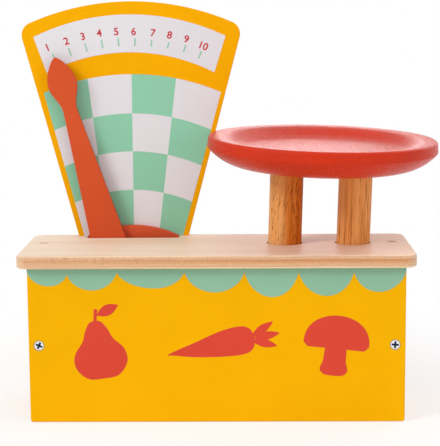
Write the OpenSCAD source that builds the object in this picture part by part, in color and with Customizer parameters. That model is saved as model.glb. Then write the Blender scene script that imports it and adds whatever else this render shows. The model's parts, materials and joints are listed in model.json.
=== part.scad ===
/* [Case] */
// Width of the case, from one outer side to the other
case_w = 218; // [200:1:240]
// Depth of the case, from its front face to its back face
case_d = 70; // [66:1:84]
// Height of the case under the top board
case_h = 91.5; // [86:0.5:105]
// Thickness of the two side panels
side_t = 12; // [9:0.5:15]
// Thickness of the front panel
front_t = 5; // [4:0.5:8]
// Thickness of the back panel
back_t = 4; // [3:0.5:6]
// Thickness of the bottom panel
bottom_t = 5; // [4:0.5:8]
// Radius of the corners of the front panel
panel_r = 1.6; // [1:0.1:4]
// Width of the eased edges of the panels
panel_ease = 0.5; // [0.2:0.1:0.9]

/* [Top board] */
// Thickness of the top board
board_t = 7.5; // [6:0.5:10]
// Overhang of the top board past each side of the case
board_over_side = 6; // [2:0.5:10]
// Overhang of the top board past the front of the case
board_over_front = 5; // [2:0.5:10]
// Radius of the corners of the top board, seen from above
board_r = 7; // [3:0.5:10]
// Width of the eased edges of the top board
board_ease = 0.8; // [0.3:0.1:1.5]

/* [Dial] */
// Place of the dial's centre line, left of the middle of the case
dial_left = 52.5; // [50:0.5:54]
// Thickness of the dial
dial_t = 5; // [4:0.5:8]
// Height of the dial above the top board
dial_h = 144.2; // [125:0.2:165]
// Width of the dial where it meets the top board
dial_root_w = 68.4; // [66:0.2:76]
// Slant of each side of the dial, in degrees from upright
dial_slant = 14.8; // [13:0.1:16]
// Radius of the dial's top edge
dial_top_r = 156; // [140:1:180]
// Radius of the dial's two top corners
dial_corner_r = 8; // [4:0.5:12]
// Width of the dial's foot behind the case
dial_foot_w = 63; // [50:0.5:64]
// Length of the dial's foot below the top board
dial_foot_l = 68; // [62:1:76]
// Radius of the two lower corners of the dial's foot
dial_foot_r = 8; // [3:0.5:14]

/* [Pointer] */
// Depth of the pivot below the upper face of the top board
pivot_drop = 57; // [54:0.5:60]
// Swing of the pointer to each side of upright, in degrees
swing = 15.3; // [12:0.1:15.6]
// Thickness of the pointer
lever_t = 3.6; // [3:0.1:4.5]
// Distance from the pivot to the narrowest place of the pointer's neck
neck_reach = 141; // [130:1:145]
// Distance from the neck's narrowest place to the head's widest place
head_rise = 16; // [12:0.5:20]
// Distance from the head's widest place to the pointer's tip
tip_rise = 17; // [12:0.5:22]
// Width of the head at its widest place
head_w = 17.6; // [13:0.2:20]
// Width of the neck at its narrowest place
neck_w = 8.4; // [7:0.1:12]
// Width of the pointer at its root
root_w = 21.8; // [18:0.2:24]
// Rise of the red arch behind the pointer above the top board
arch_rise = 7; // [4:0.5:9]
// Diameter of the pivot screw's smooth shoulder
pivot_d = 5; // [4:0.5:6]
// Diameter of the drive pin
pin_d = 5; // [4:0.5:6]

/* [Pan] */
// Place of the pan's centre, right of the middle of the case
pan_right = 61; // [56:0.5:66]
// Distance from the back face of the case to the centre of the posts
pan_setback = 29; // [27:0.5:34]
// Lean of the pan to the right in its loose guide holes, in degrees
lean_side = 1.7; // [0:0.1:2]
// Lean of the pan to the front in its loose guide holes, in degrees
lean_front = 2; // [0:0.1:2.2]
// Diameter of the two posts
post_d = 20; // [16:0.5:22]
// Distance between the centres of the two posts
post_pitch = 41; // [36:0.5:44]
// Radial clearance of the posts in their guide holes
post_clear = 0.7; // [0.6:0.1:1.5]
// Height of the bowl's rim above the top board
rim_rise = 63.5; // [58:0.5:72]
// Largest radius of the bowl
bowl_r = 68.3; // [62:0.1:68.5]
// Height of the bowl
bowl_h = 17.6; // [15:0.2:24]
// Height of the upright band round the bowl's rim
band_h = 6.5; // [4:0.5:9]
// Radius of the bowl's flat underside
base_r = 43; // [36:0.5:48]
// Outward bulge of the bowl's lower side
bowl_bulge = 3.3; // [1:0.1:5]
// Width of the bowl's nearly flat rim
rim_w = 9.5; // [7:0.1:12]
// Width of the sloping side inside the bowl
wall_w = 9.3; // [7:0.1:13]
// Slope of that side, in degrees
wall_slant = 28; // [18:0.5:36]
// Depth of the post sockets in the bowl's underside
socket_h = 3.4; // [2:0.1:4]

/* [Mechanism] */
// Travel of the pan from rest to fully pressed
travel = 20; // [16:0.5:22]
// Width of the carrier beam, front to back
beam_d = 22; // [21:0.5:24]
// Height of the carrier beam
beam_h = 12; // [10:0.5:14]
// Length of the beam past the centre of the right post
beam_end_right = 13; // [12:0.5:16]
// Length of the beam past the centre of the left post
beam_end_left = 22.5; // [20:0.5:26]
// Thickness of the drive fork
fork_t = 5; // [4:0.5:5.5]
// Height of the drive fork
fork_h = 16; // [14:0.5:18]
// Place of the spring, right of the middle of the case
spring_right = 34; // [32:0.5:38]
// Distance from the centre of the posts back to the centre of the spring
spring_back = 3; // [0:0.5:4]
// Diameter of the spring's wire
wire_d = 1.2; // [1:0.1:1.4]
// Mean diameter of the spring's curls
coil_d = 14; // [13:0.5:15]
// Number of curls of the spring
curls = 8; // [6:1:9]
// Diameter of the peg inside the spring
peg_d = 10; // [8:0.5:11]
// Height of the peg above the bottom panel
peg_h = 14; // [10:0.5:15]

/* [Fasteners] */
// Diameter of the heads of the panel screws
screw_head_d = 6.1; // [5:0.1:7]
// Diameter of the shanks of the panel screws
screw_d = 3; // [2.5:0.1:3.5]
// Length of the panel screws
screw_l = 20; // [16:0.5:24]
// Diameter of the wooden plugs over the top board's screws
plug_d = 5.6; // [5:0.1:7]
// Depth of the wooden plugs
plug_h = 2; // [1.5:0.1:2.5]
// Distance of the plugs behind the middle of the case
plug_back = 8; // [0:0.5:12]

/* [Hidden] */

// Running and seating clearances
run_gap = 0.05;
screw_gap = 0.05;
slide_gap = 0.4;
seat_gap = 0.2;
cut = 1;
round_fn = 96;
small_fn = 48;

// Levels and faces of the case
top_z = case_h + board_t;
front_y = -case_d / 2;
back_y = case_d / 2;
inner_front_y = front_y + front_t;
inner_back_y = back_y - back_t;
side_x = case_w / 2;
inner_side_x = side_x - side_t;
board_front_y = front_y - board_over_front;
board_back_y = back_y + dial_t;
board_w = case_w + 2 * board_over_side;
board_d = board_back_y - board_front_y;

// The pivot and the layers in front of the back panel
spacer_t = 0.5;
washer_t = 0.8;
washer_d = 12;
pivot_x = -dial_left;
pivot_z = top_z - pivot_drop;
lever_back_y = inner_back_y - spacer_t;
lever_front_y = lever_back_y - lever_t;
pivot_head_d = 9;
pivot_head_h = 2.6;
pivot_thread_d = 3.5;
pivot_thread_end = 1;

// The slot in the top board
slot_front_gap = 0.6;
slot_side_gap = 2;
slot_corner_r = 3;
root_reach = 55;
head_reach = neck_reach + head_rise;
tip_reach = head_reach + tip_rise;
root_half = root_w / 2;
neck_half = neck_w / 2;
head_half = head_w / 2;
lid_reach = pivot_drop / cos(swing);
lid_share = (lid_reach - root_reach) / (neck_reach - root_reach);
lid_half = root_half - (root_half - neck_half) * lid_share;
slot_half = pivot_drop * tan(swing) + lid_half / cos(swing) + slot_side_gap;
slot_front_y = lever_front_y - slot_front_gap;
arch_r = pivot_drop + arch_rise;

// The crank and its pin
crank_r = travel / 2 / sin(swing);
crank_end_r = 7;
pin_x = pivot_x + crank_r * cos(swing);
pin_z = pivot_z + crank_r * sin(swing);
pin_reach = 1;

// The pan's own frame: its origin lies between the posts at the top board's upper face
pan_y = back_y - pan_setback;
post_half = post_pitch / 2;
slide_dir = [sin(lean_side) * cos(lean_front), -sin(lean_front), cos(lean_side) * cos(lean_front)];

// A point of the case given in the pan's frame
function turned(q) = [q.x * cos(lean_side) - q.z * sin(lean_side), q.y,
    q.x * sin(lean_side) + q.z * cos(lean_side)];
function tipped(q) = [q.x, q.y * cos(lean_front) + q.z * sin(lean_front),
    q.z * cos(lean_front) - q.y * sin(lean_front)];
function to_pan(p) = tipped(turned(p - [pan_right, pan_y, top_z]));

// The beam and the fork in the pan's frame
fork_y = beam_d / 2;
fork_c = to_pan([pin_x, pan_y + fork_y + fork_t / 2, pin_z]);
beam_z = fork_c.z;
beam_top = beam_z + beam_h / 2;
beam_low = beam_z - beam_h / 2;
beam_left = -post_half - beam_end_left;
beam_right = post_half + beam_end_right;
fork_side_room = 2.4;
fork_end = 5;
fork_lap = 24;
fork_front_world = pan_y + fork_y * cos(lean_front) - beam_z * sin(lean_front);
base_z = rim_rise - bowl_h;
post_top = base_z + socket_h;

// The spring stands on the bottom panel and ends just under the leaning beam
spring_y = pan_y + spring_back;
spring_top_gap = 0.3;
spring_out = (coil_d + wire_d) / 2;
under_low = spring_out * norm([slide_dir.x, slide_dir.y]) / slide_dir.z;
function under_z(x, y) = top_z
    + (beam_low - (x - pan_right) * slide_dir.x - (y - pan_y) * slide_dir.y) / slide_dir.z;
spring_low = bottom_t;
spring_high = under_z(spring_right, spring_y) - under_low - spring_top_gap;
curl_rings = 8;
wire_sides = 6;
close_share = 0.3;

// Screws, and how far the crosses of the two front ones are turned
front_turns = [-24, -4];
screw_tip = 4;
cross_w_share = 0.2;
cross_l_share = 0.68;
cross_depth = 0.7;
screw_z = case_h / 2;
screw_x = side_x - side_t / 2;
lid_screw_l = 26;
lid_screw_in = 4;
bottom_screw_y = 20;
post_screw_grip = 15;
post_screw_head_d = 7;
post_screw_d = 3.5;
fork_screw_l = 14;
fork_screw_head_d = 5;
fork_screw_d = 2.5;
fork_screw_in = 7;
fork_screw_pitch = 10;
dial_screw_d = 2.5;
dial_screw_head_d = 5;
dial_screw_tip = 1;
dial_screw_out = 18;
dial_screw_drop = 14;
plug_gap = 0.05;

// Shape of the pointer
hub_r = 13;
crank_root_half = 9;
flare_steps = 8;
tip_steps = 12;
blunt_share = 0.75;

// Shape of the bowl
rim_steps = 6;
side_steps = 10;
bend_steps = 4;
bend_share = 0.3;
rim_round = 1.8;
rim_fall = 0.6;
band_in = 0.4;

// Outline of a plate's edge with small flats at its corners, s long and t high
function eased_edge(s, t, e) = [[e - s / 2, 0], [s / 2 - e, 0], [s / 2, e], [s / 2, t - e],
    [s / 2 - e, t], [e - s / 2, t], [-s / 2, t - e], [-s / 2, e]];

// Half of that outline, for a round corner
function eased_corner(r, t, e) = [[0, 0], [r - e, 0], [r, e], [r, t - e], [r - e, t], [0, t]];

// A plate with round corners and eased edges, lying on z = 0
module eased_plate(w, d, t, r, e) {
    rotate([90, 0, 90])
        translate([0, 0, r - w / 2])
            linear_extrude(w - 2 * r) polygon(eased_edge(d, t, e));
    rotate([90, 0, 0])
        translate([0, 0, r - d / 2])
            linear_extrude(d - 2 * r) polygon(eased_edge(w, t, e));
    for (sx = [-1, 1], sy = [-1, 1])
        translate([sx * (w / 2 - r), sy * (d / 2 - r), 0])
            rotate_extrude($fn = round_fn) polygon(eased_corner(r, t, e));
}

// A box given by its low and high corners
module box(low, high) {
    translate(low) cube(high - low);
}

// A flat shape drawn in x and z, raised from y0 to y0 + t
module upright(y0, t) {
    translate([0, y0 + t, 0]) rotate([90, 0, 0]) linear_extrude(t) children();
}

// Moves a shape into the pan's own frame
module in_pan() {
    translate([pan_right, pan_y, top_z]) rotate([lean_front, lean_side, 0]) children();
}

// Outline of a countersunk screw, its head's face on z = 0, larger all round by g
function screw_outline(head, d, l, g, up) = concat(
    up > 0 ? [[0, up], [head / 2 + g, up]] : [[0, 0]],
    [[head / 2 + g, 0], [d / 2 + g, (d - head) / 2], [d / 2 + g, screw_tip - l], [0, -l - g]]);

// A countersunk screw with a cross recess
module screw(head, d, l) {
    arm_l = head * cross_l_share;
    arm_w = head * cross_w_share;
    difference() {
        rotate_extrude($fn = small_fn) polygon(screw_outline(head, d, l, 0, 0));
        for (turn = [0, 90])
            rotate([0, 0, turn])
                box([-arm_l / 2, -arm_w / 2, -cross_depth], [arm_l / 2, arm_w / 2, cut]);
    }
}

// The hole that such a screw fills
module screw_hole(head, d, l) {
    rotate_extrude($fn = small_fn) polygon(screw_outline(head, d, l, screw_gap, cut));
}

// Places of the panel screws at the front and the back
module at_front_screws() {
    for (side = [-1, 1])
        translate([side * screw_x, front_y, screw_z]) rotate([90, 0, 0]) children();
}
module at_back_screws() {
    for (side = [-1, 1])
        translate([side * screw_x, back_y, screw_z]) rotate([-90, 0, 0]) children();
}
module at_bottom_screws() {
    for (side = [-1, 1], end = [-1, 1])
        translate([side * screw_x, end * bottom_screw_y, 0]) rotate([180, 0, 0]) children();
}
module at_lid_screws() {
    for (side = [-1, 1])
        translate([side * (side_x - lid_screw_in), plug_back, top_z - plug_h]) children();
}
module at_dial_screws() {
    for (side = [-1, 1])
        translate([pivot_x + side * dial_screw_out, board_back_y, case_h - dial_screw_drop])
            rotate([-90, 0, 0]) children();
}
module at_post_screws() {
    for (side = [-1, 1])
        translate([side * post_half, 0, beam_low]) rotate([180, 0, 0]) children();
}
module at_fork_screws() {
    for (step = [0, 1])
        translate([beam_left + fork_screw_in + step * fork_screw_pitch, fork_y + fork_t, beam_z])
            rotate([-90, 0, 0]) children();
}

// Case
module bottom_panel() {
    color([0.90, 0.78, 0.62])
        difference() {
            box([-side_x, inner_front_y, 0], [side_x, inner_back_y, bottom_t]);
            at_bottom_screws() screw_hole(screw_head_d, screw_d, screw_l);
            translate([spring_right, spring_y, -cut])
                cylinder(d = peg_d, h = bottom_t + 2 * cut, $fn = small_fn);
        }
}
module front_panel() {
    color([0.97, 0.69, 0.02])
        difference() {
            translate([0, inner_front_y, case_h / 2])
                rotate([90, 0, 0]) eased_plate(case_w, case_h, front_t, panel_r, panel_ease);
            at_front_screws() screw_hole(screw_head_d, screw_d, screw_l);
        }
}
module back_panel() {
    color([0.97, 0.69, 0.02])
        difference() {
            translate([0, back_y, case_h / 2])
                rotate([90, 0, 0]) eased_plate(case_w, case_h, back_t, panel_r, panel_ease);
            at_back_screws() screw_hole(screw_head_d, screw_d, screw_l);
            at_dial_screws() screw_hole(dial_screw_head_d, dial_screw_d, dial_screw_l);
            pivot_thread_hole();
        }
}
module side_panel(side) {
    difference() {
        translate([side * screw_x, (inner_front_y + inner_back_y) / 2, bottom_t])
            linear_extrude(case_h - bottom_t)
                square([side_t, inner_back_y - inner_front_y], center = true);
        at_front_screws() screw_hole(screw_head_d, screw_d, screw_l);
        at_back_screws() screw_hole(screw_head_d, screw_d, screw_l);
        at_bottom_screws() screw_hole(screw_head_d, screw_d, screw_l);
        at_lid_screws() screw_hole(plug_d, screw_d, lid_screw_l);
    }
}
module left_side() {
    color([0.97, 0.69, 0.02]) side_panel(-1);
}
module right_side() {
    color([0.97, 0.69, 0.02]) side_panel(1);
}

// Slot for the pointer, open to the back
module pointer_slot() {
    translate([pivot_x, 0]) {
        translate([-slot_half, slot_front_y + slot_corner_r])
            square([2 * slot_half, back_y + cut - slot_front_y - slot_corner_r]);
        translate([slot_corner_r - slot_half, slot_front_y])
            square([2 * (slot_half - slot_corner_r), 2 * slot_corner_r]);
        for (side = [-1, 1])
            translate([side * (slot_half - slot_corner_r), slot_front_y + slot_corner_r])
                circle(r = slot_corner_r, $fn = small_fn);
    }
}
module top_board() {
    post_shift = board_t * [slide_dir.x, slide_dir.y] / slide_dir.z / 2;
    color([0.93, 0.80, 0.69])
        difference() {
            translate([0, (board_front_y + board_back_y) / 2, case_h])
                eased_plate(board_w, board_d, board_t, board_r, board_ease);
            translate([0, 0, case_h - cut])
                linear_extrude(board_t + 2 * cut) pointer_slot();
            box([pivot_x - dial_root_w / 2 - seat_gap, back_y, case_h - cut],
                [pivot_x + dial_root_w / 2 + seat_gap, board_back_y + cut, top_z + cut]);
            for (side = [-1, 1])
                translate([pan_right + side * post_half * cos(lean_side) - post_shift.x,
                    pan_y - post_shift.y, case_h - cut])
                    cylinder(d = post_d + 2 * post_clear, h = board_t + 2 * cut, $fn = round_fn);
            at_lid_screws() screw_hole(plug_d, screw_d, lid_screw_l);
            at_lid_screws() cylinder(d = plug_d + 2 * plug_gap, h = plug_h + cut, $fn = small_fn);
        }
}

// Dial: a fan with true arcs, its centre line on u = 0 and the board's face on v = 0
dial_arc_v = dial_h - dial_top_r;
dial_root_half = dial_root_w / 2;
corner_a = dial_root_half - dial_corner_r / cos(dial_slant);
corner_b = tan(dial_slant);
corner_k = corner_a * corner_b - dial_arc_v;
corner_m = pow(corner_a, 2) + pow(dial_arc_v, 2) - pow(dial_top_r - dial_corner_r, 2);
corner_n = 1 + pow(corner_b, 2);
corner_v = (sqrt(pow(corner_k, 2) - corner_n * corner_m) - corner_k) / corner_n;
corner_u = corner_a + corner_b * corner_v;
side_u = corner_u + dial_corner_r * cos(dial_slant);
side_v = corner_v - dial_corner_r * sin(dial_slant);
foot_half = dial_foot_w / 2;
foot_v = (foot_half - dial_root_half) / tan(dial_slant);
far_share = 2;
module dial_outline() {
    arc = [0, dial_arc_v];
    ray = ([corner_u, corner_v] - arc) * far_share;
    intersection() {
        translate(arc) circle(r = dial_top_r, $fn = round_fn);
        polygon([arc, arc + ray, arc + [-ray.x, ray.y]]);
    }
    for (side = [-1, 1])
        translate([side * corner_u, corner_v]) circle(r = dial_corner_r, $fn = round_fn);
    polygon([[foot_half, foot_v], [side_u, side_v], [corner_u, corner_v],
        [-corner_u, corner_v], [-side_u, side_v], [-foot_half, foot_v]]);
    translate([-foot_half, dial_foot_r - dial_foot_l])
        square([dial_foot_w, dial_foot_l - dial_foot_r + foot_v]);
    translate([dial_foot_r - foot_half, -dial_foot_l])
        square([dial_foot_w - 2 * dial_foot_r, 2 * dial_foot_r]);
    for (side = [-1, 1])
        translate([side * (foot_half - dial_foot_r), dial_foot_r - dial_foot_l])
            circle(r = dial_foot_r, $fn = small_fn);
}
module dial_panel() {
    color([0.97, 0.69, 0.02])
        difference() {
            translate([pivot_x, 0, top_z]) upright(back_y, dial_t) dial_outline();
            at_dial_screws() screw_hole(dial_screw_head_d, dial_screw_d, dial_screw_l);
            pivot_thread_hole();
        }
}

// Arch that closes the slot between the pointer and the dial
module arch_plate() {
    half = slot_half - seat_gap;
    color([0.80, 0.30, 0.17])
        translate([pivot_x, 0, pivot_z])
            upright(inner_back_y, back_t)
                intersection() {
                    circle(r = arch_r, $fn = round_fn);
                    translate([-half, case_h - pivot_z]) square([2 * half, arch_r]);
                }
}

// Fasteners of the case
module front_screws() {
    color("silver")
        for (i = [0, 1])
            translate([(2 * i - 1) * screw_x, front_y, screw_z])
                rotate([90, 0, 0]) rotate(front_turns[i]) screw(screw_head_d, screw_d, screw_l);
}
module back_screws() {
    color("silver") at_back_screws() screw(screw_head_d, screw_d, screw_l);
}
module bottom_screws() {
    color("silver") at_bottom_screws() screw(screw_head_d, screw_d, screw_l);
}
module lid_screws() {
    color("silver") at_lid_screws() screw(plug_d, screw_d, lid_screw_l);
}
module lid_plugs() {
    color([0.70, 0.50, 0.32])
        at_lid_screws() cylinder(d = plug_d, h = plug_h, $fn = small_fn);
}
dial_screw_l = dial_t + back_t - dial_screw_tip;
module dial_screws() {
    color("silver") at_dial_screws() screw(dial_screw_head_d, dial_screw_d, dial_screw_l);
}

// Pivot of the pointer, its axis along y
module on_pivot(y0) {
    translate([pivot_x, y0, pivot_z]) rotate([-90, 0, 0]) children();
}
pivot_end_y = board_back_y - pivot_thread_end;
module pivot_thread_hole() {
    on_pivot(inner_back_y - cut)
        cylinder(d = pivot_thread_d + 2 * screw_gap, h = pivot_end_y - inner_back_y + cut, $fn = small_fn);
}
module pivot_screw() {
    head_y = lever_front_y - washer_t - pivot_head_h;
    crown = pivot_head_h / 2;
    color("silver") {
        on_pivot(head_y)
            rotate_extrude($fn = small_fn)
                polygon([[0, 0], [pivot_head_d / 2 - crown, 0], [pivot_head_d / 2, crown],
                    [pivot_head_d / 2, pivot_head_h], [0, pivot_head_h]]);
        on_pivot(head_y + crown)
            cylinder(d = pivot_d, h = inner_back_y - head_y - crown, $fn = small_fn);
        on_pivot(inner_back_y - crown)
            cylinder(d = pivot_thread_d, h = pivot_end_y - inner_back_y + crown, $fn = small_fn);
    }
}
module ring(d, bore, t) {
    difference() {
        cylinder(d = d, h = t, $fn = small_fn);
        translate([0, 0, -cut]) cylinder(d = bore, h = t + 2 * cut, $fn = small_fn);
    }
}
module pivot_washer() {
    color("silver") on_pivot(lever_front_y - washer_t) ring(washer_d, pivot_d + 2 * run_gap, washer_t);
}
module spacer_washer() {
    color("dimgray") on_pivot(lever_back_y) ring(washer_d, pivot_d + 2 * run_gap, spacer_t);
}

// Spring and its peg
module spring_peg() {
    color([0.85, 0.66, 0.43])
        translate([spring_right, spring_y, 0])
            cylinder(d = peg_d, h = bottom_t + peg_h, $fn = small_fn);
}
spring_rings = curls * curl_rings;
spring_span = spring_high - spring_low - wire_d;
function coil_angle(i) = 360 * i / curl_rings;
function coil_rise(t) = spring_span * (t - close_share * sin(360 * t) / (2 * PI));
function coil_point(i) = [coil_d / 2 * cos(coil_angle(i)), coil_d / 2 * sin(coil_angle(i)),
    spring_low + wire_d / 2 + coil_rise(i / spring_rings)];
function coil_slope(i) = spring_span * curls / spring_rings
    * (1 - close_share * cos(360 * i / spring_rings)) / (2 * PI / curl_rings);
function unit(q) = q / norm(q);
function coil_out(i) = [cos(coil_angle(i)), sin(coil_angle(i)), 0];
function coil_up(i) = unit(cross(coil_out(i), [-coil_d / 2 * sin(coil_angle(i)),
    coil_d / 2 * cos(coil_angle(i)), coil_slope(i) / curls]));
spring_points = [for (i = [0 : spring_rings], j = [0 : wire_sides - 1])
    let (a = 360 * j / wire_sides)
        coil_point(i) + wire_d / 2 * (cos(a) * coil_out(i) + sin(a) * coil_up(i))];
spring_faces = concat(
    [for (i = [0 : spring_rings - 1], j = [0 : wire_sides - 1])
        let (k = (j + 1) % wire_sides, a = i * wire_sides, b = a + wire_sides)
            each [[a + j, a + k, b + k], [a + j, b + k, b + j]]],
    [for (j = [1 : wire_sides - 2]) [0, j + 1, j]],
    [for (j = [1 : wire_sides - 2])
        let (e = spring_rings * wire_sides) [e, e + j, e + j + 1]]);
spring_gap = min([for (i = [0 : spring_rings - curl_rings], j = [0 : wire_sides - 1],
    k = [0 : wire_sides - 1], s = [-1 : 1])
        let (m = min(i + curl_rings + s, spring_rings))
            norm(spring_points[i * wire_sides + j] - spring_points[m * wire_sides + k])]);
echo(spring_gap = spring_gap);
module return_spring() {
    color("gray")
        translate([spring_right, spring_y, 0])
            polyhedron(points = spring_points, faces = spring_faces);
}

// Pan, in its own frame
lip = [bowl_r - rim_w, -rim_fall];
knee = lip - [wall_w, wall_w * tan(wall_slant)];
bend_reach = norm(lip - knee) * bend_share;
side_high = [bowl_r, -band_h];
side_low = [base_r, -bowl_h];
side_out = unit([side_high.y - side_low.y, side_low.x - side_high.x]);
function side_point(t) = side_high + (side_low - side_high) * t
    + side_out * bowl_bulge * (1 - pow(2 * t - 1, 2));
function rim_point(t) = [bowl_r - band_in - rim_round + rim_round * cos(90 * t),
    rim_round * sin(90 * t) - rim_round];
function bend(p, k, q) = [for (i = [0 : bend_steps])
    let (t = i / bend_steps, a = bend_reach * unit(p - k), b = bend_reach * unit(q - k))
        k + a * pow(1 - t, 2) + b * pow(t, 2)];
bowl_outline = concat([[0, -bowl_h]],
    [for (i = [side_steps : -1 : 0]) side_point(i / side_steps)],
    [for (i = [0 : rim_steps]) rim_point(i / rim_steps)],
    bend(rim_point(1), lip, knee),
    bend(lip, knee, [0, knee.y]),
    [[0, knee.y]]);
module bowl() {
    color([0.84, 0.26, 0.18])
        in_pan()
            translate([0, 0, rim_rise])
                difference() {
                    rotate_extrude($fn = round_fn) polygon(bowl_outline);
                    for (side = [-1, 1])
                        translate([side * post_half, 0, -bowl_h - cut])
                            cylinder(d = post_d, h = socket_h + cut, $fn = round_fn);
                }
}
module post(side) {
    in_pan()
        difference() {
            translate([side * post_half, 0, beam_top])
                cylinder(d = post_d, h = post_top - beam_top, $fn = round_fn);
            at_post_screws() screw_hole(post_screw_head_d, post_screw_d, beam_h + post_screw_grip);
        }
}
module left_post() {
    color([0.80, 0.52, 0.28]) post(-1);
}
module right_post() {
    color([0.80, 0.52, 0.28]) post(1);
}
module carrier_beam() {
    color([0.85, 0.66, 0.43])
        in_pan()
            difference() {
                box([beam_left, -beam_d / 2, beam_low], [beam_right, beam_d / 2, beam_top]);
                at_post_screws() screw_hole(post_screw_head_d, post_screw_d, beam_h + post_screw_grip);
                at_fork_screws() screw_hole(fork_screw_head_d, fork_screw_d, fork_screw_l);
            }
}
module drive_fork() {
    slot_r = pin_d / 2 + slide_gap;
    left = fork_c.x - slot_r - fork_end;
    color([0.90, 0.78, 0.62])
        in_pan()
            difference() {
                box([left, fork_y, beam_z - fork_h / 2],
                    [beam_left + fork_lap, fork_y + fork_t, beam_z + fork_h / 2]);
                for (x = [fork_c.x - slide_gap, fork_c.x + fork_side_room])
                    translate([x, fork_y - cut, fork_c.z])
                        rotate([-90, 0, 0]) cylinder(r = slot_r, h = fork_t + 2 * cut, $fn = small_fn);
                box([fork_c.x - slide_gap, fork_y - cut, fork_c.z - slot_r],
                    [fork_c.x + fork_side_room, fork_y + fork_t + cut, fork_c.z + slot_r]);
                at_fork_screws() screw_hole(fork_screw_head_d, fork_screw_d, fork_screw_l);
            }
}
module post_screws() {
    color("silver")
        in_pan() at_post_screws() screw(post_screw_head_d, post_screw_d, beam_h + post_screw_grip);
}
module fork_screws() {
    color("silver") in_pan() at_fork_screws() screw(fork_screw_head_d, fork_screw_d, fork_screw_l);
}

// Pointer, drawn upright from its pivot and then swung to the left
function arm_half(s) = s <= root_reach ? root_half
    : s <= neck_reach ? root_half + (neck_half - root_half) * (s - root_reach) / (neck_reach - root_reach)
    : s <= head_reach ? neck_half + (head_half - neck_half)
        * (1 - cos(180 * (s - neck_reach) / (head_reach - neck_reach))) / 2
    : head_half * pow(max(cos(90 * (s - head_reach) / (tip_reach - head_reach)), 0), blunt_share);
arm_steps = concat([0, root_reach],
    [for (i = [0 : flare_steps]) neck_reach + (head_reach - neck_reach) * i / flare_steps],
    [for (i = [1 : tip_steps - 1]) head_reach + (tip_reach - head_reach) * sin(90 * i / tip_steps)]);
module lever_outline() {
    polygon(concat([for (s = arm_steps) [arm_half(s), s]], [[0, tip_reach]],
        [for (i = [len(arm_steps) - 1 : -1 : 0]) [-arm_half(arm_steps[i]), arm_steps[i]]]));
    circle(r = hub_r, $fn = round_fn);
    polygon([[0, -crank_root_half], [crank_r, -crank_end_r], [crank_r, crank_end_r],
        [0, crank_root_half]]);
    translate([crank_r, 0]) circle(r = crank_end_r, $fn = small_fn);
}
module pointer_lever() {
    color([0.83, 0.32, 0.17])
        difference() {
            translate([pivot_x, 0, pivot_z])
                upright(lever_front_y, lever_t) rotate(swing) lever_outline();
            on_pivot(lever_front_y - cut)
                cylinder(d = pivot_d + 2 * run_gap, h = lever_t + 2 * cut, $fn = small_fn);
            translate([pin_x, lever_front_y - cut, pin_z])
                rotate([-90, 0, 0]) cylinder(d = pin_d, h = lever_t + 2 * cut, $fn = small_fn);
        }
}
module drive_pin() {
    pin_front_y = fork_front_world - pin_reach;
    color([0.85, 0.66, 0.43])
        translate([pin_x, pin_front_y, pin_z])
            rotate([-90, 0, 0]) cylinder(d = pin_d, h = lever_back_y - pin_front_y, $fn = small_fn);
}

bottom_panel();
front_panel();
back_panel();
left_side();
right_side();
top_board();
dial_panel();
arch_plate();
front_screws();
back_screws();
bottom_screws();
lid_screws();
lid_plugs();
dial_screws();
pivot_screw();
pivot_washer();
spacer_washer();
spring_peg();
return_spring();
bowl();
left_post();
right_post();
carrier_beam();
drive_fork();
post_screws();
fork_screws();
pointer_lever();
drive_pin();
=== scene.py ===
import json
import math

import bmesh
import bpy
from mathutils import Matrix, Vector

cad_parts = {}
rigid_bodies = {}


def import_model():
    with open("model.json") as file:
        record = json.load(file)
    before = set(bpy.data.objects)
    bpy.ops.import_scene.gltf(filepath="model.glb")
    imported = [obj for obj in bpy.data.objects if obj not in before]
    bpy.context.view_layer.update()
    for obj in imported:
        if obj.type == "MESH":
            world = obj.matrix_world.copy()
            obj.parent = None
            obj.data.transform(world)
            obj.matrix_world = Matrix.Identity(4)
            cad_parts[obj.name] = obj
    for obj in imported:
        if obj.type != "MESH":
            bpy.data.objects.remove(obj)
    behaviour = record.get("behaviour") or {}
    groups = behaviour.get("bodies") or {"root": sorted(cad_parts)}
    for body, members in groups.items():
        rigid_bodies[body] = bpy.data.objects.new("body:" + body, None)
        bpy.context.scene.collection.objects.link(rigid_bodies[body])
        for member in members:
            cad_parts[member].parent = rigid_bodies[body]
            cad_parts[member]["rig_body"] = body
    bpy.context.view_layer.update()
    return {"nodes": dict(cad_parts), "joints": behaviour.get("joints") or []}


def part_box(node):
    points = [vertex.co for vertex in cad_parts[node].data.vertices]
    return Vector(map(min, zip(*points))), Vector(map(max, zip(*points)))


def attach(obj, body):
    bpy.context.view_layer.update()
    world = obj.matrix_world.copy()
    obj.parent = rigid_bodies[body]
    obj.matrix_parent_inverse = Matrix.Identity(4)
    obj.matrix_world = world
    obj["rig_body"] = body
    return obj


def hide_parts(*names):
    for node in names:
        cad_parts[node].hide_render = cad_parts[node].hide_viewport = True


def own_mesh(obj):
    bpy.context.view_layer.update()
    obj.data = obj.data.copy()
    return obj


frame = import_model()
nodes = frame["nodes"]
MM = 0.001


def level(node, side, axis):
    """Where a CAD node's low side (0) or high side (1) lies on the axis 0, 1 or 2, in mm."""
    return round(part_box(node)[side][axis] / MM, 3)


# Levels and places of the frame, in millimetres
FRONT_Y = level("front_panel", 0, 1)
BACK_Y = level("back_panel", 1, 1)
DIAL_Y = level("dial_panel", 0, 1)
DIAL_BACK_Y = level("dial_panel", 1, 1)
BOARD_LOW_Z = level("top_board", 0, 2)
BOARD_Z = level("top_board", 1, 2)
SCREW_X = 103.0           # the front screws lie this far from the middle
SCREW_Z = BOARD_LOW_Z / 2  # halfway up the front panel
SCREW_R = 3.05            # radius of their heads
RECESS_SHADE_FROM = 0.12        # from this depth on a head's recess is coloured dark: painted shade in the recess
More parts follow.
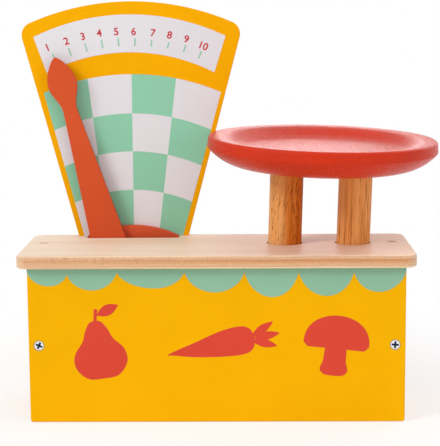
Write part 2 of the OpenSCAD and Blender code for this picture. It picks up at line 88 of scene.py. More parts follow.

# The pan leans by these degrees, about the point where its axis meets the board's top
slide = next(j for j in frame["joints"] if j["name"] == "pan_slide")
LEAN_FRONT = round(math.degrees(math.asin(slide["axis"][1])), 3)
LEAN_SIDE = round(math.degrees(math.atan(slide["axis"][0] / slide["axis"][2])), 3)
PAN = (61.0, 6.0, BOARD_Z)
RIM_RISE = 63.5           # from that point to the bowl's rim

PRINT = 0.06              # thickness of a print above its face
OVERPRINT = PRINT * 1.6   # the same for a print that lies on another one
PRINT_ROOT = 0.03         # depth of a print's hidden side below that face
LAYER = 0.01              # step between prints that cross each other


# Materials

MATERIALS = {}
LACUNARITY = 2.17         # an uneven step between a noise's octaves leaves no grid lines in it


def linear(rgb):
    """Linear colour of an sRGB colour given in 0 to 255."""
    out = []
    for c in rgb:
        c /= 255.0
        out.append(c / 12.92 if c <= 0.04045 else ((c + 0.055) / 1.055) ** 2.4)
    return (*out, 1.0)


def shade(rgb, share):
    """An sRGB colour made lighter or darker by a share."""
    return tuple(min(255.0, c * share) for c in rgb)


class Tree:
    """A material's node tree, built with short calls. Colour stops are pairs of a place and a value."""

    def __init__(self, name):
        self.mat = bpy.data.materials.new(name)
        self.mat.use_nodes = True
        self.name = name
        self.nodes = self.mat.node_tree.nodes
        self.links = self.mat.node_tree.links
        self.nodes.clear()
        self.out = self.nodes.new("ShaderNodeOutputMaterial")
        self.bsdf = self.nodes.new("ShaderNodeBsdfPrincipled")
        self.links.new(self.bsdf.outputs[0], self.out.inputs[0])
        self.coord = self.nodes.new("ShaderNodeTexCoord").outputs

    def put(self, socket, value):
        """Links a socket to another one, or gives it a value."""
        if hasattr(value, "links"):
            self.links.new(value, socket)
        else:
            socket.default_value = value

    def new(self, kind, inputs, **props):
        """A node with its properties and inputs."""
        node = self.nodes.new(kind)
        for key, value in props.items():
            setattr(node, key, value)
        for key, value in inputs.items():
            self.put(node.inputs[key], value)
        return node

    def math(self, operation, a, b=0.0):
        """The result of a sum on one or two values."""
        return self.new("ShaderNodeMath", {0: a, 1: b}, operation=operation).outputs[0]

    def add(self, a, b):
        return self.math("ADD", a, b)

    def sub(self, a, b):
        return self.math("SUBTRACT", a, b)

    def mul(self, a, b):
        return self.math("MULTIPLY", a, b)

    def around_zero(self, noise, amount):
        """A noise of 0 to 1 moved to lie around 0, times an amount."""
        return self.mul(self.sub(noise, 0.5), amount)

    def place(self, scale, turn=None, shift=(0, 0, 0)):
        """Object coordinates, turned by degrees first and then scaled and shifted."""
        vector = self.coord["Object"]
        if turn:
            angles = [math.radians(v) for v in turn]
            vector = self.new("ShaderNodeMapping", {"Vector": vector, "Rotation": angles}).outputs[0]
        inputs = {"Vector": vector, "Scale": scale, "Location": shift}
        return self.new("ShaderNodeMapping", inputs).outputs[0]

    def noise(self, vector, detail, rough=0.5, distort=0.0, scale=1.0):
        """A noise of 0 to 1 that changes about scale times in each unit of the vector."""
        inputs = {"Vector": vector, "Scale": scale, "Detail": detail, "Roughness": rough,
                  "Distortion": distort, "Lacunarity": LACUNARITY}
        return self.new("ShaderNodeTexNoise", inputs).outputs["Fac"]

    def ramp(self, fac, *stops):
        """A colour or grey value that follows its stops as fac goes from 0 to 1."""
        node = self.new("ShaderNodeValToRGB", {"Fac": fac})
        band = node.color_ramp
        while len(band.elements) < len(stops):
            band.elements.new(0.5)
        for element, (pos, col) in zip(band.elements, stops):
            element.position = pos
            element.color = col if hasattr(col, "__len__") else (col, col, col, 1.0)
        return node.outputs["Color"]

    def mix(self, fac, a, b, blend="MIX"):
        """The colour a with a share fac of b blended in."""
        inputs = {0: fac, 6: a, 7: b}
        return self.new("ShaderNodeMix", inputs, data_type="RGBA", blend_type=blend).outputs[2]

    def tint(self, color, by):
        """A colour times another."""
        return self.mix(1.0, color, by, "MULTIPLY")

    def xyz(self, kind):
        """The three parts of the Object or Normal coordinates."""
        return self.new("ShaderNodeSeparateXYZ", {0: self.coord[kind]}).outputs

    def bump(self, height, depth):
        """Relief that is depth mm deep."""
        return self.new("ShaderNodeBump", {"Height": height, "Distance": depth * MM}).outputs[0]

    def finish(self, color, rough, normal, spec, metal=0.0):
        """Fills in the shader and keeps the material under its name."""
        self.put(self.bsdf.inputs["Base Color"], color)
        self.put(self.bsdf.inputs["Roughness"], rough)
        self.put(self.bsdf.inputs["Normal"], normal)
        self.bsdf.inputs["Specular IOR Level"].default_value = spec
        self.bsdf.inputs["Metallic"].default_value = metal
        MATERIALS[self.name] = self.mat


def paint(name, rgb, grain, seed, rough=0.42, relief=0.1, vary=0.02, spec=0.15, matt=0.05):
    """Satin paint on wood: slow changes of tone, the wood's grain faintly through it, a fine stipple.
    grain says how fast the grain changes along x, y and z. vary is the share by which the tone changes
    and matt the amount by which the roughness does. relief is in mm."""
    t = Tree(name)
    slow = t.noise(t.place((14, 14, 14), shift=(seed, 0, 0)), detail=2)
    fibres = t.noise(t.place([60.0 * g for g in grain], shift=(seed, 1, 2)), detail=5, rough=0.6,
                     distort=0.4)
    stipple = t.noise(t.place((1500, 1500, 1500)), detail=2)
    color = t.ramp(slow, (0.3, linear(shade(rgb, 1 - vary))), (0.7, linear(shade(rgb, 1 + vary))))
    color = t.tint(color, t.ramp(fibres, (0.3, 1 - vary), (0.7, 1 + vary / 2)))
    height = t.add(t.mul(fibres, 0.6), t.mul(stipple, 0.4))
    gloss = t.ramp(stipple, (0.3, rough - matt), (0.7, rough + matt))
    t.finish(color, gloss, t.bump(height, relief), spec)


def bare_wood(name, light, dark, grain, seed):
    """Plain sanded wood with long streaks. grain says how fast they change along x, y and z."""
    t = Tree(name)
    where = t.place(grain, shift=(seed, seed, seed))
    wide = t.noise(where, detail=3, rough=0.55, distort=0.3)
    fine = t.noise(where, detail=4, rough=0.6, scale=6.0)
    color = t.ramp(wide, (0.32, linear(dark)), (0.68, linear(light)))
    color = t.tint(color, t.ramp(fine, (0.3, 0.88), (0.65, 1.0)))
    gloss = t.ramp(fine, (0.2, 0.68), (0.8, 0.55))
    t.finish(color, gloss, t.bump(fine, 0.08), 0.3)


def post_wood(name, light, mid, dark, pore, seed, pores_from, pore_slant, pore_run, mid_x, fall):
    """Lacquered hardwood dowel: streaks along its axis and short dark pores, most of them at its right.
    A pore starts where the noise passes pores_from. pore_slant is its lean in degrees and pore_run says
    how fast it changes along the dowel. fall is painted shade: how much darker the right half of the
    dowel, turned away from the lamp, is than the left one (below 0 it is lighter), and mid_x the dowel's
    middle in mm."""
    t = Tree(name)
    turn = (-LEAN_FRONT, -LEAN_SIDE, 0)
    tilt = (-LEAN_FRONT, -LEAN_SIDE - pore_slant, 0)
    wide = t.noise(t.place((110, 110, 8), turn, (seed, 0, 0)), detail=3, rough=0.55, distort=0.4)
    streak = t.noise(t.place((560, 560, 16), turn, (seed, 3, 0)), detail=4, rough=0.62, distort=0.2)
    pores = t.noise(t.place((1300, 1300, pore_run), tilt, (seed, 7, 0)), detail=1, rough=0.4)
    patch = t.noise(t.place((70, 70, 40), turn, (seed, 9, 0)), detail=2)
    side = t.mul(t.sub(t.xyz("Object")[0], mid_x * MM), 60.0)
    # Painted shade: fall darkens the right half of the dowel, away from the lamp
    right = t.ramp(t.add(side, 0.5), (0.36, 0.0), (0.60, 0.72), (0.82, 1.0))
    tone = t.sub(t.add(t.around_zero(wide, 0.42), 0.54), t.mul(right, fall))
    color = t.ramp(tone, (0.26, linear(dark)), (0.5, linear(mid)), (0.68, linear(light)))
    color = t.tint(color, t.ramp(streak, (0.34, (0.80, 0.70, 0.60, 1)), (0.58, (1.03, 1.03, 1.03, 1))))
    depth = t.add(t.add(pores, t.around_zero(patch, 0.20)), t.mul(side, 0.07))
    mask = t.ramp(depth, (pores_from, 0.0), (pores_from + 0.12, 1.0))
    color = t.mix(t.mul(mask, 0.72), color, linear(pore))
    t.finish(color, 0.5, t.bump(mask, -0.015), 0.08)


def ply_face(t, x, fine):
    """The colour of the board's flat faces, with painted light that makes it a little lighter and warmer
    at its right end, where the bowl's shadow falls.
    """
    wide = t.noise(t.place((5, 38, 20)), detail=3, distort=0.8)
    spots = t.noise(t.place((160, 900, 900), shift=(0, 8, 0)), detail=2)
    color = t.ramp(wide, (0.3, linear((235, 205, 178))), (0.5, linear((242, 217, 195))),
                   (0.7, linear((247, 225, 206))))
    # Painted light: the faces grow a little lighter and warmer towards the right end, against the bowl's
    # shadow there
    along = t.add(t.mul(x, 4.3), 0.5)
    color = t.tint(color, t.ramp(along, (0.0, linear((248, 250, 248))), (1.0, linear((252, 251, 244)))))
    color = t.tint(color, t.ramp(fine, (0.3, 0.94), (0.65, 1.0)))
    return t.tint(color, t.ramp(spots, (0.68, 1.0), (0.76, 0.90)))


def ply_edge(t, x, z, across, rows):
    """The colour of the board's edges. across is the part of the normal that looks to the ends."""
    # Glued layers from the board's underside at 0 to its top at 1
    wave = t.noise(t.place((22, 22, 30), shift=(0, 2, 0)), detail=2)
    height = t.mul(t.sub(z, BOARD_LOW_Z * MM), 1 / ((BOARD_Z - BOARD_LOW_Z) * MM))
    height = t.add(height, t.around_zero(wave, 0.10))
    cream, rose, tan, deep, glue = (linear(c) for c in ((244, 220, 178), (219, 175, 137), (219, 168, 124),
                                                        (212, 154, 103), (194, 138, 97)))
    color = t.ramp(height, (0.0, cream), (0.14, cream), (0.16, glue), (0.18, glue), (0.21, rose),
                   (0.34, rose), (0.40, tan), (0.46, deep), (0.58, deep), (0.62, glue), (0.67, glue),
                   (0.71, tan), (0.80, rose), (0.92, rose), (0.96, cream), (1.0, cream))
    # The layers fade towards the board's left end
    color = t.mix(t.ramp(t.add(t.mul(x, -5.0), 0.5), (0.3, 0.0), (1.0, 0.6)), color, rose)
    # Cut fibres, seen as rows along the layers and as dots
    dots = t.noise(t.place((700, 700, 900), shift=(0, 6, 0)), detail=3)
    color = t.tint(color, t.ramp(rows, (0.32, 0.92), (0.62, 1.03)))
    color = t.tint(color, t.ramp(dots, (0.30, 0.84), (0.50, 1.0)))
    # Small chips where the saw tore the upper layers, most of them left of the middle
    chips = t.noise(t.place((380, 380, 1100), shift=(0, 9, 0)), detail=2)
    torn = t.ramp(height, (0.46, 0.0), (0.60, 1.0), (0.88, 1.0), (0.95, 0.0))
    many = t.ramp(t.add(t.mul(x, -8.0), 0.2), (0.3, 0.15), (0.6, 1.0))
    chip = t.mul(t.mul(torn, many), t.ramp(chips, (0.56, 0.0), (0.64, 0.55)))
    color = t.mix(chip, color, linear((160, 108, 74)))
    # The short ends are paler than the long edges
    end = t.ramp(t.math("ABSOLUTE", across), (0.15, 0.0), (0.75, 0.4))
    return t.mix(end, color, linear((224, 202, 182)))


def ply(name):
    """Birch plywood with a clear coat: flat faces have long grain, edges show the glued layers."""
    t = Tree(name)
    x, _, z = t.xyz("Object")
    across, _, upward = t.xyz("Normal")
    fine = t.noise(t.place((22, 520, 520), shift=(0, 4, 0)), detail=4, rough=0.6, distort=0.2)
    rows = t.noise(t.place((46, 46, 900), shift=(0, 5, 0)), detail=5, rough=0.65, distort=0.1)
    flat = t.ramp(t.math("ABSOLUTE", upward), (0.66, 0.0), (0.82, 1.0))
    color = t.mix(flat, ply_edge(t, x, z, across, rows), ply_face(t, x, fine))
    relief = t.add(t.mul(fine, flat), t.mul(rows, t.sub(1.0, flat)))
    t.finish(color, 0.5, t.bump(relief, 0.08), 0.25)


def end_grain(name, light, dark, pale):
    """The ends of two small dowels: fine rings and pores. The left one is mixed with a pale colour."""
    t = Tree(name)
    inputs = {"Vector": t.place((1, 1, 0.05)), "Scale": 260.0, "Distortion": 6.0, "Detail": 3.0}
    rings = t.new("ShaderNodeTexWave", inputs, wave_type="RINGS").outputs["Fac"]
    pores = t.noise(t.place((1500, 1500, 1500)), detail=2)
    color = t.ramp(rings, (0.1, linear(dark)), (0.9, linear(light)))
    color = t.tint(color, t.ramp(pores, (0.35, 0.75), (0.55, 1.0)))
    left = t.math("LESS_THAN", t.xyz("Object")[0], 0.0)
    color = t.mix(t.mul(left, 0.45), color, linear(pale))
    t.finish(color, 0.6, t.bump(pores, 0.05), 0.3)


def screw_rim(t, color):
    """A colour darkened at the rims of the front screws' heads: painted shade of the gap round each head.
    """
    x, _, z = t.xyz("Object")
    side = t.sub(t.math("ABSOLUTE", x), SCREW_X * MM)
    rise = t.sub(z, SCREW_Z * MM)
    far = t.math("SQRT", t.add(t.mul(side, side), t.mul(rise, rise)))
    # Painted shade: a grey ring darkens the rim of each head, where the gap round it lies in shade
    rim = t.ramp(t.mul(far, 1 / (SCREW_R * MM)), (0.84, 0.0), (0.93, 1.0))
    return t.mix(rim, color, linear((112, 108, 104)))


def steel(name, tone, rough, brush=300, recess=None, rim=False):
    """Plated steel with brush marks. recess holds the axis along which heads are driven in, the place of
    their faces on it in mm, the direction inwards and the colour of the painted shade that fills the
    recess."""
    t = Tree(name)
    fine = t.noise(t.place((brush, brush, brush)), detail=4, rough=0.6)
    blot = t.noise(t.place((240, 240, 240)), detail=2)
    low = (tone * 0.86, tone * 0.87, tone * 0.9, 1)
    high = (tone, tone, tone * 1.01, 1)
    color = t.tint(t.ramp(fine, (0.3, low), (0.7, high)), t.ramp(blot, (0.3, 0.9), (0.7, 1.0)))
    # Painted shade: the cross recess of each head is coloured dark
    if recess:
        axis, face, inwards, dark = recess
        depth = t.mul(t.sub(t.xyz("Object")[axis], face * MM), inwards)
        color = t.mix(t.math("GREATER_THAN", depth, RECESS_SHADE_FROM * MM), color, linear(dark))
    # Painted shade round the rims of the front screws' heads
    if rim:
        color = screw_rim(t, color)
    gloss = t.ramp(fine, (0.2, rough), (0.8, rough + 0.12))
    t.finish(color, gloss, t.bump(fine, 0.01), 0.5, metal=0.9)


def fibre(name):
    """Dark vulcanised fibre, the stuff of spacer washers."""
    t = Tree(name)
    weave = t.noise(t.place((900, 900, 900)), detail=3)
    color = t.ramp(weave, (0.3, linear((34, 32, 30))), (0.7, linear((52, 50, 48))))
    t.finish(color, 0.75, t.bump(weave, 0.03), 0.3)


# How fast painted grain changes along x, y and z, for grain that runs along one of them
LONG_X = (0.6, 1, 6)
LONG_Y = (6, 0.6, 6)
LONG_Z = (6, 1, 0.6)

for name, rgb, grain, seed in (("yellow_front", (237, 174, 0), LONG_X, 1.0),
                               ("yellow_dial", (236, 167, 0), LONG_Z, 4.0),
                               ("yellow_side", (237, 172, 0), LONG_Y, 7.0)):
    paint(name, rgb, grain, seed, rough=0.55, vary=0.014, spec=0.04)
paint("pointer_red", (201, 78, 37), (6, 1, 0.5), seed=2.0, rough=0.5)
paint("arch_red", (208, 84, 48), (0.5, 1, 6), seed=3.0, rough=0.5)
paint("bowl_red", (200, 48, 18), (6, 6, 6), seed=5.0, rough=0.28, relief=0.6, vary=0.04, spec=0.12,
      matt=0.03)
for name, rgb, grain, vary, seed in (("print_red", (212, 68, 48), LONG_X, 0.015, 6.0),
                                     ("print_green", (137, 197, 166), LONG_X, 0.015, 8.0),
                                     # A darker copy of the dial's green: partly a paint of its own,
                                     # partly painted shade under the board's overhang
                                     ("print_scallop_shaded", (136, 183, 155), LONG_X, 0.015, 8.0),
                                     ("print_white", (217, 216, 220), LONG_Z, 0.01, 9.0),
                                     ("print_digit", (190, 50, 58), LONG_Z, 0.015, 10.0),
                                     ("print_tick", (146, 196, 172), LONG_Z, 0.015, 12.0)):
    paint(name, rgb, grain, seed, vary=vary)

ply("ply")
# fall paints shade on the right half of each dowel
post_wood("post_left", light=(244, 206, 154), mid=(230, 166, 98), dark=(208, 112, 22), pore=(128, 54, 12),
          seed=2.0, pores_from=0.575, pore_slant=10.0, pore_run=170, mid_x=40.0, fall=0.31)
post_wood("post_right", light=(240, 178, 110), mid=(238, 162, 88), dark=(230, 136, 46),
          pore=(150, 76, 26), seed=11.0, pores_from=0.60, pore_slant=0.5, pore_run=60, mid_x=82.0,
          fall=-0.01)
bare_wood("panel_bare", light=(226, 192, 150), dark=(206, 166, 120), grain=(7, 60, 60), seed=2.0)
bare_wood("beam_bare", light=(224, 184, 134), dark=(196, 150, 98), grain=(9, 80, 80), seed=5.0)
bare_wood("peg_bare", light=(222, 182, 134), dark=(198, 152, 102), grain=(90, 90, 9), seed=8.0)
bare_wood("fork_bare", light=(228, 192, 146), dark=(204, 162, 112), grain=(9, 60, 90), seed=9.0)
end_grain("plug", light=(214, 168, 134), dark=(176, 122, 88), pale=(238, 208, 184))

# The last colour of each recess is painted shade in the cross recesses of the heads
steel("front_screw", tone=0.90, rough=0.30, recess=(1, FRONT_Y, 1.0, (24, 44, 66)), rim=True)
for name, axis, face, inwards in (("back_screw", 1, BACK_Y, -1.0),
                                  ("dial_screw", 1, DIAL_BACK_Y, -1.0),
                                  ("under_screw", 2, 0.0, 1.0)):
    steel(name, tone=0.80, rough=0.28, recess=(axis, face, inwards, (38, 52, 72)))
steel("inner_steel", tone=0.66, rough=0.32)
steel("spring_steel", tone=0.50, rough=0.36, brush=700)
fibre("fibre")

NODE_MATERIAL = {
    "bottom_panel": "panel_bare", "front_panel": "yellow_front", "back_panel": "yellow_front",
    "left_side": "yellow_side", "right_side": "yellow_side", "top_board": "ply",
    "dial_panel": "yellow_dial", "arch_plate": "arch_red", "front_screws": "front_screw",
    "back_screws": "back_screw", "bottom_screws": "under_screw", "lid_screws": "inner_steel",
    "lid_plugs": "plug", "dial_screws": "dial_screw", "pivot_screw": "inner_steel",
    "pivot_washer": "inner_steel", "spacer_washer": "fibre", "spring_peg": "peg_bare",
    "return_spring": "spring_steel", "bowl": "bowl_red", "left_post": "post_left",
    "right_post": "post_right", "carrier_beam": "beam_bare", "drive_fork": "fork_bare",
    "post_screws": "inner_steel", "fork_screws": "inner_steel", "pointer_lever": "pointer_red",
    "drive_pin": "peg_bare"}


def wear(obj, name):
    """Gives an object one material."""
    obj.data.materials.clear()
    obj.data.materials.append(MATERIALS[name])


for node, name in NODE_MATERIAL.items():
    wear(nodes[node], name)


# Ways of making pieces

EASE_STEPS = 3
EASE_ANGLE = 32.0         # edges that turn by more degrees than this are eased
FLAT_ANGLE = 0.5          # faces that turn by fewer degrees than this are joined first
WELD = 1e-6               # points of a CAD node nearer than this, in metres, are one
DIGIT_WELD = 1e-7         # the same for the numbers, whose points lie closer


def shares(steps):
    """The numbers from 0 to 1 in equal steps."""
    return [i / steps for i in range(steps + 1)]


def mesh_of(bm, name):
    """The mesh of a finished bmesh."""
    mesh = bpy.data.meshes.new(name)
    bm.to_mesh(mesh)
    bm.free()
    return mesh


def piece(name, mesh, material, body):
    """A piece of the scene's own, which rides on a body."""
    obj = bpy.data.objects.new(name, mesh)
    bpy.context.scene.collection.objects.link(obj)
    wear(obj, material)
    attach(obj, body)
    return obj


def smooth(obj):
    """Smooth shading on every face."""
    for poly in obj.data.polygons:
        poly.use_smooth = True


def prism(outlines, low, high):
    """A closed plate for each outline, drawn in x and z and standing between y low and high, in mm."""
    bm = bmesh.new()
    for outline in outlines:
        area = sum(a[0] * b[1] - b[0] * a[1] for a, b in zip(outline, outline[1:] + outline[:1]))
        pts = outline if area > 0 else outline[::-1]
        front = [bm.verts.new((x * MM, low * MM, z * MM)) for x, z in pts]
        back = [bm.verts.new((x * MM, high * MM, z * MM)) for x, z in pts]
        bm.faces.new(front)
        bm.faces.new(back[::-1])
        for i in range(len(pts)):
            j = (i + 1) % len(pts)
            bm.faces.new((front[j], front[i], back[i], back[j]))
    bm.normal_update()
    many_sided = [f for f in bm.faces if len(f.verts) > 4]
    bmesh.ops.triangulate(bm, faces=many_sided, ngon_method="EAR_CLIP")
    bmesh.ops.recalc_face_normals(bm, faces=bm.faces)
    return mesh_of(bm, "plates")


def print_on(name, outlines, face_y, material, lift=PRINT):
    """Prints on a face of the case that looks to the front."""
    piece(name, prism(outlines, face_y - lift, face_y + PRINT_ROOT), material, "case")


def eased(node, width):
    """A copy of a CAD node with softly rounded edges, width mm wide, which stands for it."""
    src = nodes[node]
    bm = bmesh.new()
    bm.from_mesh(src.data)
    bmesh.ops.remove_doubles(bm, verts=bm.verts, dist=WELD)
    bmesh.ops.dissolve_limit(bm, angle_limit=math.radians(FLAT_ANGLE), verts=bm.verts, edges=bm.edges)
    name = node + "_eased"
    body = src["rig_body"]
    obj = piece(name, mesh_of(bm, name), NODE_MATERIAL[node], body)
    ease = obj.modifiers.new("ease", "BEVEL")
    ease.width = width * MM
    ease.segments = EASE_STEPS
    ease.limit_method = "ANGLE"
    ease.angle_limit = math.radians(EASE_ANGLE)
    smooth(obj)
    normals = obj.modifiers.new("normals", "WEIGHTED_NORMAL")
    normals.keep_sharp = True
    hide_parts(node)


EASED = {"top_board": 0.45, "dial_panel": 0.5, "pointer_lever": 0.45, "arch_plate": 0.3,
         "front_panel": 0.25, "back_panel": 0.25}
for node, width in EASED.items():
    eased(node, width)


# Prints of the dial

# An arc is given by the x and z of its top and by its radius, a line by two points on it
WINDOW_TOP = (-53.3, 235.3, 136.0)
WINDOW_LOW = (-53.3, 212.4, 113.0)
WINDOW_LEFT = ((-111.45, 220.4), (-104.3, 200.2))
WINDOW_RIGHT = ((4.9, 220.5), (-1.8, 199.2))
WINDOW_STEPS = 48

CELL_MID = -52.3
CELL_ARCS = [(CELL_MID, 199.1, 137.5), (CELL_MID, 175.1, 119.0), (CELL_MID, 151.7, 102.5),
             (CELL_MID, 127.8, 89.0), (CELL_MID, 103.9, 76.0)]
CELL_LINES = [((-106.2, 187.1), (-88.7, 119.8)), ((-79.3, 195.75), (-73.8, 149.6)),
              ((CELL_MID, 200.0), (CELL_MID, 100.0)), ((-25.1, 196.3), (-36.1, 105.2)),
              ((2.4, 187.9), (-16.1, 120.1))]
CELL_STEPS = 12
CELLS_LOW_Z = BOARD_Z - 2.0   # the lowest row ends behind the board

TICK_TOP = [(-100.7, 211.7), (-90.5, 215.3), (-80.65, 217.9), (-70.4, 220), (-60.1, 221.1),
            (-49.8, 220.7), (-39.7, 219.8), (-29.1, 218.5), (-18.9, 216.6), (-9.3, 212.9)]
TICK_LOW = [(-98.9, 208.7), (-89.1, 210.4), (-79.2, 213.1), (-69.6, 215.1), (-59.8, 216),
            (-50, 216.2), (-40, 215.8), (-30.2, 214.6), (-20.4, 212.1), (-11.2, 208.4)]
TICK_W = 0.95

DIGIT_AT = [(-103.6, 215.7), (-91.9, 219.5), (-81.8, 222.2), (-71.7, 224.2), (-61.3, 225.0),
            (-50.6, 225.0), (-38.75, 224.0), (-28.7, 222.7), (-18.4, 220.2), (-7.8, 215.9)]
DIGIT_H = 4.6
DIGIT_CENTRE = (-54.5, 100.0)   # the numbers stand upright as seen from this point
DIGIT_BOLD = 0.022              # growth of the letters' outlines, as a share of their size
DIGIT_DEPTH = 0.5               # any depth will do, since the numbers are flattened later

SETTLE_STEPS = 60               # enough for the crossing of a line and an arc to settle


def arc_z(x, mid, apex, radius):
    """Height of an arc at x, its top at (mid, apex)."""
    return apex - radius + math.sqrt(radius ** 2 - (x - mid) ** 2)


def line_x(z, a, b):
    """x of the line through the points a and b at height z."""
    return a[0] + (b[0] - a[0]) * (z - a[1]) / (b[1] - a[1])


def meet_x(line, arc):
    """x of the point where a line crosses an arc."""
    z = arc[1]
    for _ in range(SETTLE_STEPS):
        z = arc_z(line_x(z, *line), *arc)
    return line_x(z, *line)


def arc_row(left, right, arc, steps):
    """Points along an arc from one line to another."""
    x0, x1 = meet_x(left, arc), meet_x(right, arc)
    xs = [x0 + (x1 - x0) * t for t in shares(steps)]
    return [(x, arc_z(x, *arc)) for x in xs]


def dial_window():
    """The white field behind numbers and ticks."""
    high = arc_row(WINDOW_LEFT, WINDOW_RIGHT, WINDOW_TOP, WINDOW_STEPS)
    low = arc_row(WINDOW_LEFT, WINDOW_RIGHT, WINDOW_LOW, WINDOW_STEPS)
    print_on("dial_window", [high + low[::-1]], DIAL_Y, "print_white")


def dial_cells():
    """The chequer of green and white cells between arcs and lines."""
    cells = {0: [], 1: []}
    for row, arc in enumerate(CELL_ARCS):
        for col, (left, right) in enumerate(zip(CELL_LINES, CELL_LINES[1:])):
            high = arc_row(left, right, arc, CELL_STEPS)
            if row + 1 < len(CELL_ARCS):
                low = arc_row(left, right, CELL_ARCS[row + 1], CELL_STEPS)
            else:
                low = [(line_x(CELLS_LOW_Z, *line), CELLS_LOW_Z) for line in (left, right)]
            cells[(row + col) % 2].append(high + low[::-1])
    print_on("dial_cells_green", cells[0], DIAL_Y, "print_green")
    print_on("dial_cells_white", cells[1], DIAL_Y, "print_white")


def dial_ticks():
    """A short bar under each number."""
    ticks = []
    for a, b in zip(TICK_TOP, TICK_LOW):
        d = Vector((b[0] - a[0], b[1] - a[1])).normalized()
        n = Vector((d.y, -d.x)) * TICK_W / 2
        ticks.append([(a[0] - n.x, a[1] - n.y), (a[0] + n.x, a[1] + n.y),
                      (b[0] + n.x, b[1] + n.y), (b[0] - n.x, b[1] - n.y)])
    print_on("dial_ticks", ticks, DIAL_Y, "print_tick", lift=OVERPRINT)


def letters(text):
    """The mesh of a text in Blender's own letters, with a front at z over 0 and a back under it."""
    curve = bpy.data.curves.new("digit", "FONT")
    curve.body = text
    curve.extrude = DIGIT_DEPTH
    curve.offset = DIGIT_BOLD
    obj = bpy.data.objects.new("digit", curve)
    mesh = bpy.data.meshes.new_from_object(obj)
    bpy.data.objects.remove(obj)
    bpy.data.curves.remove(curve)
    return mesh


def dial_numbers():
    """The numbers 1 to 10, as thin plates tilted round the dial."""
    bm = bmesh.new()
    for number, (cx, cz) in enumerate(DIGIT_AT, 1):
        mesh = letters(str(number))
        xs = [v.co.x for v in mesh.vertices]
        ys = [v.co.y for v in mesh.vertices]
        size = DIGIT_H / (max(ys) - min(ys))
        mx, my = (max(xs) + min(xs)) / 2, (max(ys) + min(ys)) / 2
        tilt = math.atan2(cx - DIGIT_CENTRE[0], cz - DIGIT_CENTRE[1])
        c, s = math.cos(tilt), math.sin(tilt)
        for v in mesh.vertices:
            u, w = (v.co.x - mx) * size, (v.co.y - my) * size
            depth = DIAL_Y - OVERPRINT if v.co.z > 0 else DIAL_Y + PRINT_ROOT
            v.co = (MM * (cx + u * c + w * s), MM * depth, MM * (cz - u * s + w * c))
        bm.from_mesh(mesh)
        bpy.data.meshes.remove(mesh)
    bmesh.ops.remove_doubles(bm, verts=bm.verts, dist=DIGIT_WELD)
    bmesh.ops.recalc_face_normals(bm, faces=bm.faces)
    piece("dial_numbers", mesh_of(bm, "dial_numbers"), "print_digit", "case")


dial_window()
dial_cells()
dial_ticks()
dial_numbers()


# Prints of the front panel

# The scallops hang between the cusps and are lowest at the bottoms
CUSPS = [(-109.0, 89.0), (-85.9, 87.6), (-57.2, 88.6), (-18.3, 88.6), (16.3, 88.6), (47.3, 88.6),
         (79.0, 88.4), (109.0, 89.0)]
BOTTOMS = [(-96.3, 80.8), (-71.8, 78.3), (-35.3, 79.35), (-0.9, 76.9), (32.3, 74.05), (63.6, 74.6),
           (93.3, 76.85)]
SCALLOP_TOP_Z = BOARD_LOW_Z - 0.1
SCALLOP_REACH = 0.96            # share of a quarter ellipse that each half of a scallop follows
SCALLOP_STEPS = 20

# Where each motif's own origin lies, its turn in degrees and its size
PEAR_PLACE = ((-68, 43), 8, 1.0)
CARROT_PLACE = ((-0.5, 46), 10, 0.92)
MUSHROOM_PLACE = ((69, 46), -6, 1.0)
CAP_HALF = 19
CAP_RISE = 17
CAP_FULL = 0.85                 # under 1 the cap is fuller than half an ellipse
CAP_STEPS = 28
CURVE_STEPS = 8
LEAF_STEPS = 14


def front_scallops():
    """The green fringe under the board."""
    scallops = []
    for i, (bx, bz) in enumerate(BOTTOMS):
        (ax, az), (cx, cz) = CUSPS[i], CUSPS[i + 1]
        pts = []
        for k in range(-SCALLOP_STEPS, SCALLOP_STEPS + 1):
            u = SCALLOP_REACH * k / SCALLOP_STEPS
            (ex, ez) = (ax, az) if k < 0 else (cx, cz)
            fall = (1 - math.sqrt(1 - u * u)) / (1 - math.sqrt(1 - SCALLOP_REACH ** 2))
            pts.append((bx + (ex - bx) * abs(k) / SCALLOP_STEPS, bz + (ez - bz) * fall))
        scallops.append([(ax, SCALLOP_TOP_Z)] + pts + [(cx, SCALLOP_TOP_Z)])
    print_on("front_scallops", scallops, FRONT_Y, "print_scallop_shaded")


def curve_through(points):
    """A smooth closed outline through the points."""
    out = []
    n = len(points)
    for i in range(n):
        p0, p1, p2, p3 = (Vector(points[(i + k) % n]) for k in (-1, 0, 1, 2))
        for j in range(CURVE_STEPS):
            t = j / CURVE_STEPS
            q = 0.5 * ((2 * p1) + (p2 - p0) * t + (2 * p0 - 5 * p1 + 4 * p2 - p3) * t * t
                       + (3 * p1 - p0 - 3 * p2 + p3) * t ** 3)
            out.append((q.x, q.y))
    return out


def leaf(root, tip, half):
    """A pointed leaf from root to tip, which reaches out by half to each side."""
    a, b = Vector(root), Vector(tip)
    d = b - a
    n = Vector((-d.y, d.x)).normalized() * half
    steps = shares(LEAF_STEPS)
    up = [a + d * t + n * math.sin(math.pi * t) for t in steps]
    down = [a + d * t - n * math.sin(math.pi * t) for t in steps[-2:0:-1]]
    return [(p.x, p.y) for p in up + down]


def moved(outline, at, turn, size):
    """An outline turned by degrees, sized and moved to a place."""
    c, s = math.cos(math.radians(turn)), math.sin(math.radians(turn))
    return [(at[0] + size * (x * c - z * s), at[1] + size * (x * s + z * c)) for x, z in outline]


